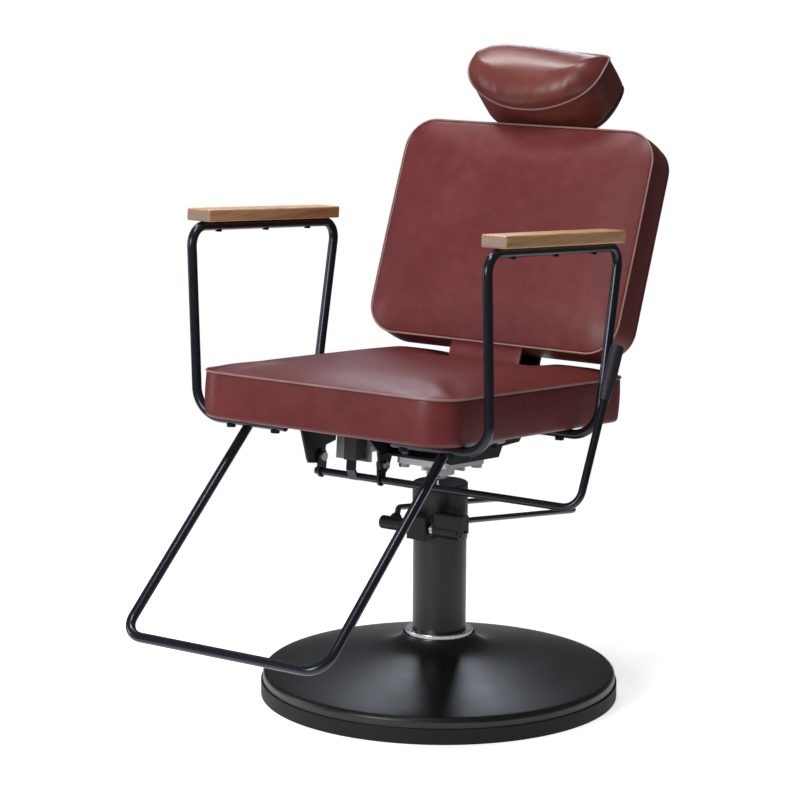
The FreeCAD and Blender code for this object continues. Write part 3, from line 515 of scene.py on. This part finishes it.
def inflate(ob, pressure, cap, shrink=0.0, frames=20, stiff=25.0, bend=6.0, mass=0.4):
    """Cloth pressure on a copy of the pad with its seams held; the result is capped and kept."""
    rest = np.array([v.co for v in ob.data.vertices])
    mod = ob.modifiers.new("Cloth", "CLOTH")
    s = mod.settings
    s.quality = 7
    s.mass = mass
    s.air_damping = 2.0
    s.tension_stiffness = s.compression_stiffness = stiff
    s.shear_stiffness = stiff * 0.5
    s.bending_stiffness = bend
    s.tension_damping = s.compression_damping = s.shear_damping = 10
    s.use_pressure = True
    s.uniform_pressure_force = pressure
    s.shrink_min = shrink
    s.vertex_group_mass = "pin"
    s.effector_weights.gravity = 0.0
    mod.collision_settings.use_collision = False
    mod.collision_settings.use_self_collision = False
    mod.point_cache.frame_start, mod.point_cache.frame_end = 1, frames
    for f in range(1, frames + 1):
        scene.frame_set(f)
    ev = ob.evaluated_get(bpy.context.evaluated_depsgraph_get())
    out = np.array([v.co for v in ev.data.vertices])
    ob.modifiers.remove(mod)
    scene.frame_set(1)
    d = out - rest
    ln = np.linalg.norm(d, axis=1)
    k = cap * np.tanh(ln / cap) / np.maximum(ln, 1e-9)
    new = rest + d * k[:, None]
    if not np.isfinite(new).all():
        return
    for v, c in zip(ob.data.vertices, new):
        v.co = c
    ob.data.update()
    print("inflate", ob.name, "max", round(float(ln.max() * 1000), 2), "mean", round(float(ln.mean() * 1000), 2))


def sweep(name, pts, r, mat, seg=10, closed=True, taper=False):
    """Round welt along a smooth closed or open line of points."""
    p = [Vector(q) for q in pts]
    n = len(p)
    tang = []
    for i in range(n):
        a = p[(i - 1) % n] if closed or i > 0 else p[i]
        b = p[(i + 1) % n] if closed or i < n - 1 else p[i]
        tang.append((b - a).normalized())
    ref = Vector((0, 0, 1)) if abs(tang[0].z) < 0.9 else Vector((1, 0, 0))
    u = (ref - tang[0] * ref.dot(tang[0])).normalized()
    frames = []
    for i in range(n):
        if i:
            q = tang[i - 1].rotation_difference(tang[i])
            u = q @ u
            u = (u - tang[i] * u.dot(tang[i])).normalized()
        frames.append((u.copy(), tang[i].cross(u)))
    verts, faces = [], []
    for i in range(n):
        a, b = frames[i]
        k = 1.0
        if taper and not closed:
            e = min(i, n - 1 - i) / 3.0
            k = min(1.0, 0.15 + e)
        for s in range(seg):
            w = 2 * math.pi * s / seg
            verts.append(p[i] + (a * math.cos(w) + b * math.sin(w)) * r * k)
    m = n if closed else n - 1
    for i in range(m):
        for s in range(seg):
            a = i * seg + s
            b = i * seg + (s + 1) % seg
            c = ((i + 1) % n) * seg + (s + 1) % seg
            d = ((i + 1) % n) * seg + s
            faces.append([a, b, c, d])
    if not closed:
        faces.append(list(range(seg))[::-1])
        faces.append([(n - 1) * seg + s for s in range(seg)])
    return new_object(name, verts, faces, mat)


def smooth_step(t):
    t = np.clip(t, 0, 1)
    return 1 - (1 - t) ** 2.4


def subsurf(ob, level=1):
    m = ob.modifiers.new("Subd", "SUBSURF")
    m.levels = m.render_levels = level


def place(ob, M, body, slot_name, *replace):
    ob.data.transform(M)
    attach(ob, body)
    if replace:
        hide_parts(*replace)
    return ob


same = lambda L, P: L.copy()

# ------------------------------------------------------------------ seat pad
SW, SL0, SL1, SR = 0.245, -0.406, 0.176, 0.054
H_PIPE, H_BOT = 0.558, 0.4835
NX, NL = 0.084, 0.078
nx, ny = 70, 84
g = coons(*rounded_sides(-SW, SW, SL0, SL1, SR, nx, ny))
ia = int(np.argmin(abs(g[:, ny // 2, 0] + NX)))
ib = nx - ia
ja = int(np.argmin(abs(g[nx // 2, :, 1] - NL)))
for i in range(nx + 1):
    for j in range(ny + 1):
        x, y = g[i, j]
        if j >= ja - 14 and ia - 6 <= i <= ib + 6:
            wy = min(1.0, (j - ja + 14) / 14.0)
            target = math.copysign(NX, x) * (min(abs(i - nx / 2), nx / 2 - ia) / (nx / 2 - ia)) if ia <= i <= ib else x
            g[i, j, 0] = x + (target - x) * wy
        if abs(j - ja) <= 8:
            g[i, j, 1] += (NL - g[nx // 2, ja, 1]) * (1 - abs(j - ja) / 9.0)
for i in range(ia, ib + 1):
    g[i, ja, 1] = NL
mask = np.ones((nx, ny), bool)
mask[ia:ib, ja:] = False


def seat_crown(P, d):
    x, y = P[:, 0], P[:, 1]
    broad = np.clip(1 - (x / SW) ** 2, 0, 1) * np.clip(1 - ((y - (SL0 + SL1) / 2) / ((SL1 - SL0) / 2)) ** 2, 0, 1)
    return 0.0135 * smooth_step(d / 0.062) + 0.0055 * broad


def boxing(z0, z1, count, inset, bulge):
    out = []
    for k in range(1, count + 1):
        t = k / count
        out.append((z0 + (z1 - z0) * t, (lambda L, P, s=inset * t: L * (1 - s)), bulge * math.sin(math.pi * t)))
    return out


rows = boxing(H_PIPE, H_BOT + 0.006, 12, 0.0, 0.0015)
rows.append((H_BOT + 0.002, lambda L, P: L * 0.996, 0.0))
rows.append((H_BOT, lambda L, P: L * 0.985, 0.0))
seat = Pad("seat_pad", g, H_PIPE, seat_crown, rows, LEATHER, mask=mask)
seat.pins(extra_rows=(-2, -3))
inflate(seat.ob, 2.2, 0.0045)
subsurf(seat.ob)
seat_seam = seat.seam
seat_ob = place(seat.ob, M_S, "seat", "leather", "seat_cushion")


def outset(pts, off, z):
    """Moves a closed loop outward in its plane by off and along z."""
    q = np.array([tuple(v) for v in pts])
    t = np.roll(q, -1, axis=0) - np.roll(q, 1, axis=0)
    nrm = np.stack([t[:, 1], -t[:, 0]], 1)
    nrm /= np.maximum(np.linalg.norm(nrm, axis=1), 1e-9)[:, None]
    q[:, :2] += nrm * off
    q[:, 2] += z
    return q


def outer_only(pts, test):
    """The part of a closed loop that passes the test, in order."""
    ok = [test(v) for v in pts]
    n = len(pts)
    s = next(i for i in range(n) if ok[i] and not ok[i - 1])
    out = []
    for k in range(n):
        if ok[(s + k) % n]:
            out.append(pts[(s + k) % n])
        else:
            break
    return out


welt = outset(seat_seam, 0.0006, 0.0008)
welt = outer_only([tuple(v) for v in welt], lambda v: not (abs(v[0]) < NX + 0.002 and v[1] > NL - 0.01 and v[1] < SL1 - 0.004))
p = sweep("seat_piping", welt, 0.0017, PIPING, closed=False, taper=True)
place(p, M_S, "seat", "leather")

# ------------------------------------------------------------------ back pad
BW, BS0, BS1, BR = 0.250, -0.001, 0.389, 0.055
nx, ny = 72, 58
g = coons(*rounded_sides(-BW, BW, BS0, BS1, BR, nx, ny))
# the piped outline bows a little between its corners
for i in range(nx + 1):
    for j in range(ny + 1):
        x, y = g[i, j]
        g[i, j, 0] += math.copysign(0.0015, x) * (abs(x) / BW) * (1 - ((y - 0.19) / 0.2) ** 2)


def back_crown(P, d):
    x, y = P[:, 0], P[:, 1]
    broad = np.clip(1 - (x / BW) ** 2, 0, 1) * np.clip(1 - ((y - 0.194) / 0.195) ** 2, 0, 1)
    return 0.0115 * smooth_step(d / 0.066) + 0.005 * broad


def back_move(drop, k):
    """Lower edge moves down by drop and the whole outline in by k."""
    return lambda L, P: np.c_[L[:, 0] * (1 - k), L[:, 1] + (0.194 - L[:, 1]) * k - drop * np.clip((0.194 - L[:, 1]) / 0.195, 0, 1)]


rows = []
for k in range(1, 11):
    t = k / 10
    rows.append((-0.058 * t, back_move(0.0066 * t, 0.004 * t), 0.0020 * math.sin(math.pi * t)))
rows.append((-0.0605, back_move(0.0062, 0.012), 0.0))
rows.append((-0.0616, back_move(0.005, 0.04), 0.0))
back = Pad("back_pad", g, 0.0, back_crown, rows, LEATHER)
back.pins(extra_rows=(-2, -3))
inflate(back.ob, 2.2, 0.0025)
subsurf(back.ob)
back_ob = place(back.ob, M_B, "backrest", "leather", "back_cushion")
p = sweep("back_piping", [tuple(v) for v in outset(back.seam, 0.0006, 0.0006)], 0.0017, PIPING)
place(p, M_B, "backrest", "leather")

# rear panel, leather wrapped round a thin shell
nx, ny = 60, 48
g = coons(*rounded_sides(-0.246, 0.246, 0.006, 0.385, 0.050, nx, ny))
rows = []
for z, s in ((-0.0632, 0.0), (-0.066, -0.003), (-0.070, -0.0042), (-0.0735, -0.001), (-0.0765, 0.008), (-0.0783, 0.022), (-0.0788, 0.045)):
    rows.append((z, (lambda L, P, s=s: np.c_[L[:, 0] * (1 - s), L[:, 1] + (0.195 - L[:, 1]) * s]), 0.0))
panel = Pad("back_rear_cover", g, -0.0622, lambda P, d: 0 * d, rows, LEATHER, back_crown=lambda P, d: 0.0006 * smooth_step(d / 0.12))
subsurf(panel.ob)
panel_ob = place(panel.ob, M_B, "backrest", "leather", "back_rear_panel")

# flap over the bracket
verts, faces = [], []
nu, nv = 36, 16
pa = back_to_seat(-0.001, 0.004)
pb = (0.0875, 0.560)
for side in (0, 1):
    for i in range(nu + 1):
        for j in range(nv + 1):
            u, v = i / nu, j / nv
            x = -0.073 + 0.146 * u
            l = pa[0] + (pb[0] - pa[0]) * v
            h = pa[1] + (pb[1] - pa[1]) * v
            belly = 0.0022 * math.sin(math.pi * v) + 0.0006 * noise3((u * 4, v * 2, 0), 3.0)
            edge = 0.0010 * math.exp(-(min(u, 1 - u) * 0.146 / 0.006) ** 2)
            verts.append((x, l - belly + edge + (0.0042 if side else 0.0), h))
n1 = (nu + 1) * (nv + 1)
idx = lambda s, i, j: s * n1 + i * (nv + 1) + j
for i in range(nu):
    for j in range(nv):
        faces.append([idx(0, i, j), idx(0, i, j + 1), idx(0, i + 1, j + 1), idx(0, i + 1, j)])
        faces.append([idx(1, i, j), idx(1, i + 1, j), idx(1, i + 1, j + 1), idx(1, i, j + 1)])
for i in range(nu):
    faces.append([idx(0, i, 0), idx(0, i + 1, 0), idx(1, i + 1, 0), idx(1, i, 0)])
    faces.append([idx(0, i, nv), idx(1, i, nv), idx(1, i + 1, nv), idx(0, i + 1, nv)])
for j in range(nv):
    faces.append([idx(0, 0, j), idx(1, 0, j), idx(1, 0, j + 1), idx(0, 0, j + 1)])
    faces.append([idx(0, nu, j), idx(0, nu, j + 1), idx(1, nu, j + 1), idx(1, nu, j)])
flap = new_object("hinge_flap", verts, faces, LEATHER)
subsurf(flap)
place(flap, M_S, "backrest", "leather", "hinge_cover")

# ------------------------------------------------------------------ headrest
# seam of the front panel: (x, up the slope, out), in mm; its upper part leans back to the tips
SEAM = [(0, -4, 0), (20, -3.5, 0), (40, -0.5, 0), (58, 4, 0), (75, 10.5, 0), (90, 17.5, 0), (104, 26, 0), (115.5, 35.5, 0), (124, 45, 0),
        (129.5, 54, 0), (133.5, 64, -1.5), (135.3, 75, -4), (135.5, 87, -9), (134.3, 97, -14.5), (131.5, 104, -19), (124, 106.6, -19.5),
        (108, 107.8, -19), (85, 108.6, -18.5), (52, 110, -18), (20, 111.3, -17), (0, 111.5, -17)]
REAR = [(0, -14), (20, -14), (40, -14), (58, -13.5), (75, -12), (90, -8.5), (103, -2), (113, 6), (121, 16), (128, 28), (133, 40), (137, 53),
        (139, 65), (138.5, 74), (135, 80), (127, 83.5), (108, 86.5), (85, 88), (52, 89.5), (20, 90), (0, 90)]


def loop3(half):
    pts = [tuple(q) + (0,) * (3 - len(q)) for q in half]
    pts = pts + [(-q[0], q[1], q[2]) for q in reversed(pts[1:-1])]
    p = np.array(pts, float)
    out = []
    for i in range(len(p)):
        p0, p1, p2, p3 = p[i - 1], p[i], p[(i + 1) % len(p)], p[(i + 2) % len(p)]
        for k in range(16):
            t = k / 16
            out.append(0.5 * ((2 * p1) + (-p0 + p2) * t + (2 * p0 - 5 * p1 + 4 * p2 - p3) * t * t + (-p0 + 3 * p1 - 3 * p2 + p3) * t ** 3))
    return np.array(out) / 1000.0


seam3, rear3 = loop3(SEAM), loop3(REAR)
NS = len(seam3)


def side(loop, k0, k1, n):
    if k1 < k0:
        k1 += NS
    return resample([tuple(loop[k % NS]) for k in range(k0, k1 + 1)], n)


def index_of(x, y):
    return int(np.argmin(np.hypot(seam3[:, 0] - x, seam3[:, 1] - y)))


corners = [index_of(-0.104, 0.026), index_of(0.104, 0.026), index_of(0.1315, 0.104), index_of(-0.1315, 0.104)]
nx, ny = 66, 30
counts = (nx, ny, nx, ny)
sides3 = [side(seam3, corners[k], corners[(k + 1) % 4], counts[k]) for k in range(4)]
sides_r = [side(rear3, corners[k], corners[(k + 1) % 4], counts[k]) for k in range(4)]
g = coons(*[q[:, :2] for q in sides3])
front_line = np.vstack([q[:-1] for q in sides3])
rear_line = np.vstack([q[:-1] for q in sides_r])
rear_grid = coons(*[q[:, :2] for q in sides_r])


def head_seam_z(P):
    z = np.zeros(len(P))
    for k in range(len(P)):
        j = int(np.argmin(np.hypot(front_line[:, 0] - P[k, 0], front_line[:, 1] - P[k, 1])))
        z[k] = front_line[j, 2]
    return z


def match(L):
    """Rear outline points that belong to the seam points L."""
    j = [int(np.argmin(np.hypot(front_line[:, 0] - q[0], front_line[:, 1] - q[1]))) for q in L]
    return rear_line[j, :2]


def head_crown(P, d):
    x, y = P[:, 0], P[:, 1]
    t = np.clip(d / 0.056, 0, 1)
    side_soft = np.clip((abs(x) - 0.085) / 0.05, 0, 1)
    g1 = np.sqrt(1 - (1 - t) ** 2)
    g2 = (1 - (1 - t) ** 2) ** 0.85
    z = 0.0385 * (g1 * (1 - side_soft) + g2 * side_soft)
    for k in range(len(P)):
        w = math.exp(-((d[k] - 0.012) / 0.018) ** 2) * min(1.0, d[k] / 0.006)
        low = np.clip((0.062 - y[k]) / 0.03, 0, 1)
        z[k] += 0.0004 * w * low * math.sin(x[k] * 250 + 2.5 * noise3((x[k] * 30, y[k] * 25, 0), 5.0))
        z[k] += 0.0008 * noise3((x[k] * 20, y[k] * 14, 0), 9.0) * min(1.0, d[k] / 0.02)
    return z


def head_shift(P, d):
    """The filling pushes the panel up over the top seam, more on one side."""
    t = np.clip(d / 0.056, 0, 1)
    gg = np.sqrt(1 - (1 - t) ** 2)
    b = np.where(gg < 0.6, gg / 0.6, (1 - gg) / 0.4)
    w = np.clip((P[:, 1] - 0.055) / 0.045, 0, 1)
    w = w * w * (3 - 2 * w)
    amount = np.interp(P[:, 0], [-0.135, -0.118, -0.095, -0.06, -0.03, 0, 0.03, 0.06, 0.09, 0.135],
                       [0, 0.003, 0.011, 0.0118, 0.0091, 0.0062, 0.0042, 0.0027, 0.0008, 0])
    return amount * w * np.sin(np.clip(b, 0, 1) * math.pi / 2)


def head_move(t, k=0.0):
    def f(L, P):
        R = match(P)
        Q = L * (1 - t) + R * t
        return np.c_[Q[:, 0] * (1 - k), Q[:, 1] + (0.045 - Q[:, 1]) * k]
    return f


rows = []
for k in range(1, 11):
    t = k / 10
    rows.append((-0.0725 * t, head_move(t), 0.0008 * math.sin(math.pi * t)))
rows.append((-0.0748, head_move(1.0, 0.02), 0.0))
rows.append((-0.0756, head_move(1.0, 0.06), 0.0))


head = Pad("headrest_pad", g, 0.0, head_crown, [(z, (lambda L, P, f=f: f(L, L)), b) for z, f, b in rows[:-1]] +
           [(rows[-1][0], (lambda L, P: np.c_[L[:, 0] * 0.95, 0.042 + (L[:, 1] - 0.055) * 0.78]), 0.0)],
           LEATHER_HEAD, smooth=1, seam_z=head_seam_z, shift=head_shift)
head.pins(extra_rows=(-2, -3))
inflate(head.ob, 1.5, 0.0014, bend=14.0)
subsurf(head.ob)
head_ob = place(head.ob, M_H, "headrest", "leather", "headrest_cushion")
p = sweep("headrest_piping", [tuple(v) for v in outset(head.seam, 0.0006, 0.0004)], 0.0019, PIPING)
place(p, M_H, "headrest", "leather")

# rear shell of the headrest, leather over ply, set off from the pad by a narrow groove
rows = []
for z, k in ((-0.0768, 0.045), (-0.0772, 0.026), (-0.0790, 0.019), (-0.0830, 0.016), (-0.0862, 0.020), (-0.0876, 0.034), (-0.0880, 0.07)):
    rows.append((z, (lambda L, P, k=k: np.c_[L[:, 0] * (1 - k), L[:, 1] + (0.040 - L[:, 1]) * k]), 0.0))
shell = Pad("headrest_rear_cover", rear_grid, -0.0764, lambda P, d: 0 * d, rows, LEATHER)
me = shell.ob.data
for k in range(shell.top_n):
    v = me.vertices[k].co
    v.x *= 0.95
    v.y += (0.040 - v.y) * 0.06
subsurf(shell.ob)
shell_ob = place(shell.ob, M_H, "headrest", "leather", "headrest_board")

# ------------------------------------------------------------------ camera and light
cam_d = bpy.data.cameras.new("cam")
cam = bpy.data.objects.new("cam", cam_d)
scene.collection.objects.link(cam)
az, el, roll = math.radians(34.065), math.radians(10.616), math.radians(0.339)
fwd = Vector((-math.sin(az) * math.cos(el), math.cos(az) * math.cos(el), -math.sin(el)))
rt = Vector((math.cos(az), math.sin(az), 0))
up = rt.cross(fwd)
R2 = rt * math.cos(roll) + up * math.sin(roll)
U2 = up * math.cos(roll) - rt * math.sin(roll)
m = Matrix((R2, U2, -fwd)).transposed().to_4x4()
m.translation = Vector((2.5053, -3.8290, 1.3668))
cam.matrix_world = m
cam_d.sensor_width = 36.0
cam_d.lens = 2755.4 / 800 * 36.0
cam_d.clip_start, cam_d.clip_end = 0.1, 100
scene.camera = cam


def area(name, loc, target, size, energy, color=(1, 1, 1), size_y=None):
    d = bpy.data.lights.new(name, "AREA")
    d.shape = "RECTANGLE"
    d.size = size
    d.size_y = size_y or size
    d.energy = energy
    d.color = color
    o = bpy.data.objects.new(name, d)
    o.location = loc
    o.rotation_euler = (Vector(target) - Vector(loc)).to_track_quat("-Z", "Y").to_euler()
    scene.collection.objects.link(o)
    return o


area("key", (-0.35, -3.9, 1.75), (0, 0, 0.62), 1.4, 82, (1.0, 0.985, 0.965), 1.5)
area("left_low", (-3.0, -1.5, 0.9), (0, 0, 0.55), 0.6, 17, (0.82, 0.88, 1.0), 1.6)
area("top_left", (-1.0, 0.0, 2.9), (0, 0, 0.7), 0.4, 21, (1, 0.99, 0.97), 0.6)
area("top_right", (0.28, -0.75, 2.8), (0, 0, 0.7), 0.4, 21, (1, 0.99, 0.97), 0.6)
area("back_left", (-1.5, 2.25, 2.45), (0, -0.1, 0.1), 1.0, 21, (0.80, 0.88, 1.0), 0.9)

w = bpy.data.worlds.new("studio")
scene.world = w
w.use_nodes = True
nt = w.node_tree
bg = nt.nodes["Background"]
bg.inputs["Color"].default_value = (1, 1, 1, 1)
bg.inputs["Strength"].default_value = 0.10
bg2 = nt.nodes.new("ShaderNodeBackground")
bg2.inputs["Color"].default_value = (1, 1, 1, 1)
bg2.inputs["Strength"].default_value = 1.0
lp = nt.nodes.new("ShaderNodeLightPath")
mx = nt.nodes.new("ShaderNodeMixShader")
nt.links.new(lp.outputs["Is Camera Ray"], mx.inputs["Fac"])
nt.links.new(bg.outputs[0], mx.inputs[1])
nt.links.new(bg2.outputs[0], mx.inputs[2])
nt.links.new(mx.outputs[0], nt.nodes["World Output"].inputs["Surface"])
scene.view_settings.view_transform = "Standard"

# pale floor that fades out
me = bpy.data.meshes.new("floor")
R = 2.6
ring = [(R * math.cos(2 * math.pi * k / 96), R * math.sin(2 * math.pi * k / 96), -0.0004) for k in range(96)]
me.from_pydata(ring, [], [list(range(96))])
floor = bpy.data.objects.new("floor", me)
floor.visible_glossy = True
scene.collection.objects.link(floor)
f = Mat("floor_pale", (0.93, 0.93, 0.93), 0.7, spec=0.2)
sep = f.n("ShaderNodeVectorMath", operation="LENGTH")
f.link(f.co.outputs["Object"], sep.inputs[0])
alpha = f.rng(sep.outputs["Value"], 1.0, 0.0, 0.75, 1.9)
f.nt.nodes[alpha.node.name].interpolation_type = "SMOOTHSTEP"
f.link(alpha, f.b.inputs["Alpha"])
f.color(f.mix(f.noise(3.0, 2.0), (0.925, 0.925, 0.925), (0.945, 0.945, 0.945)))
f.set(Emission_Color=(1, 1, 1, 1), Emission_Strength=0.66)
me.materials.append(f.m)
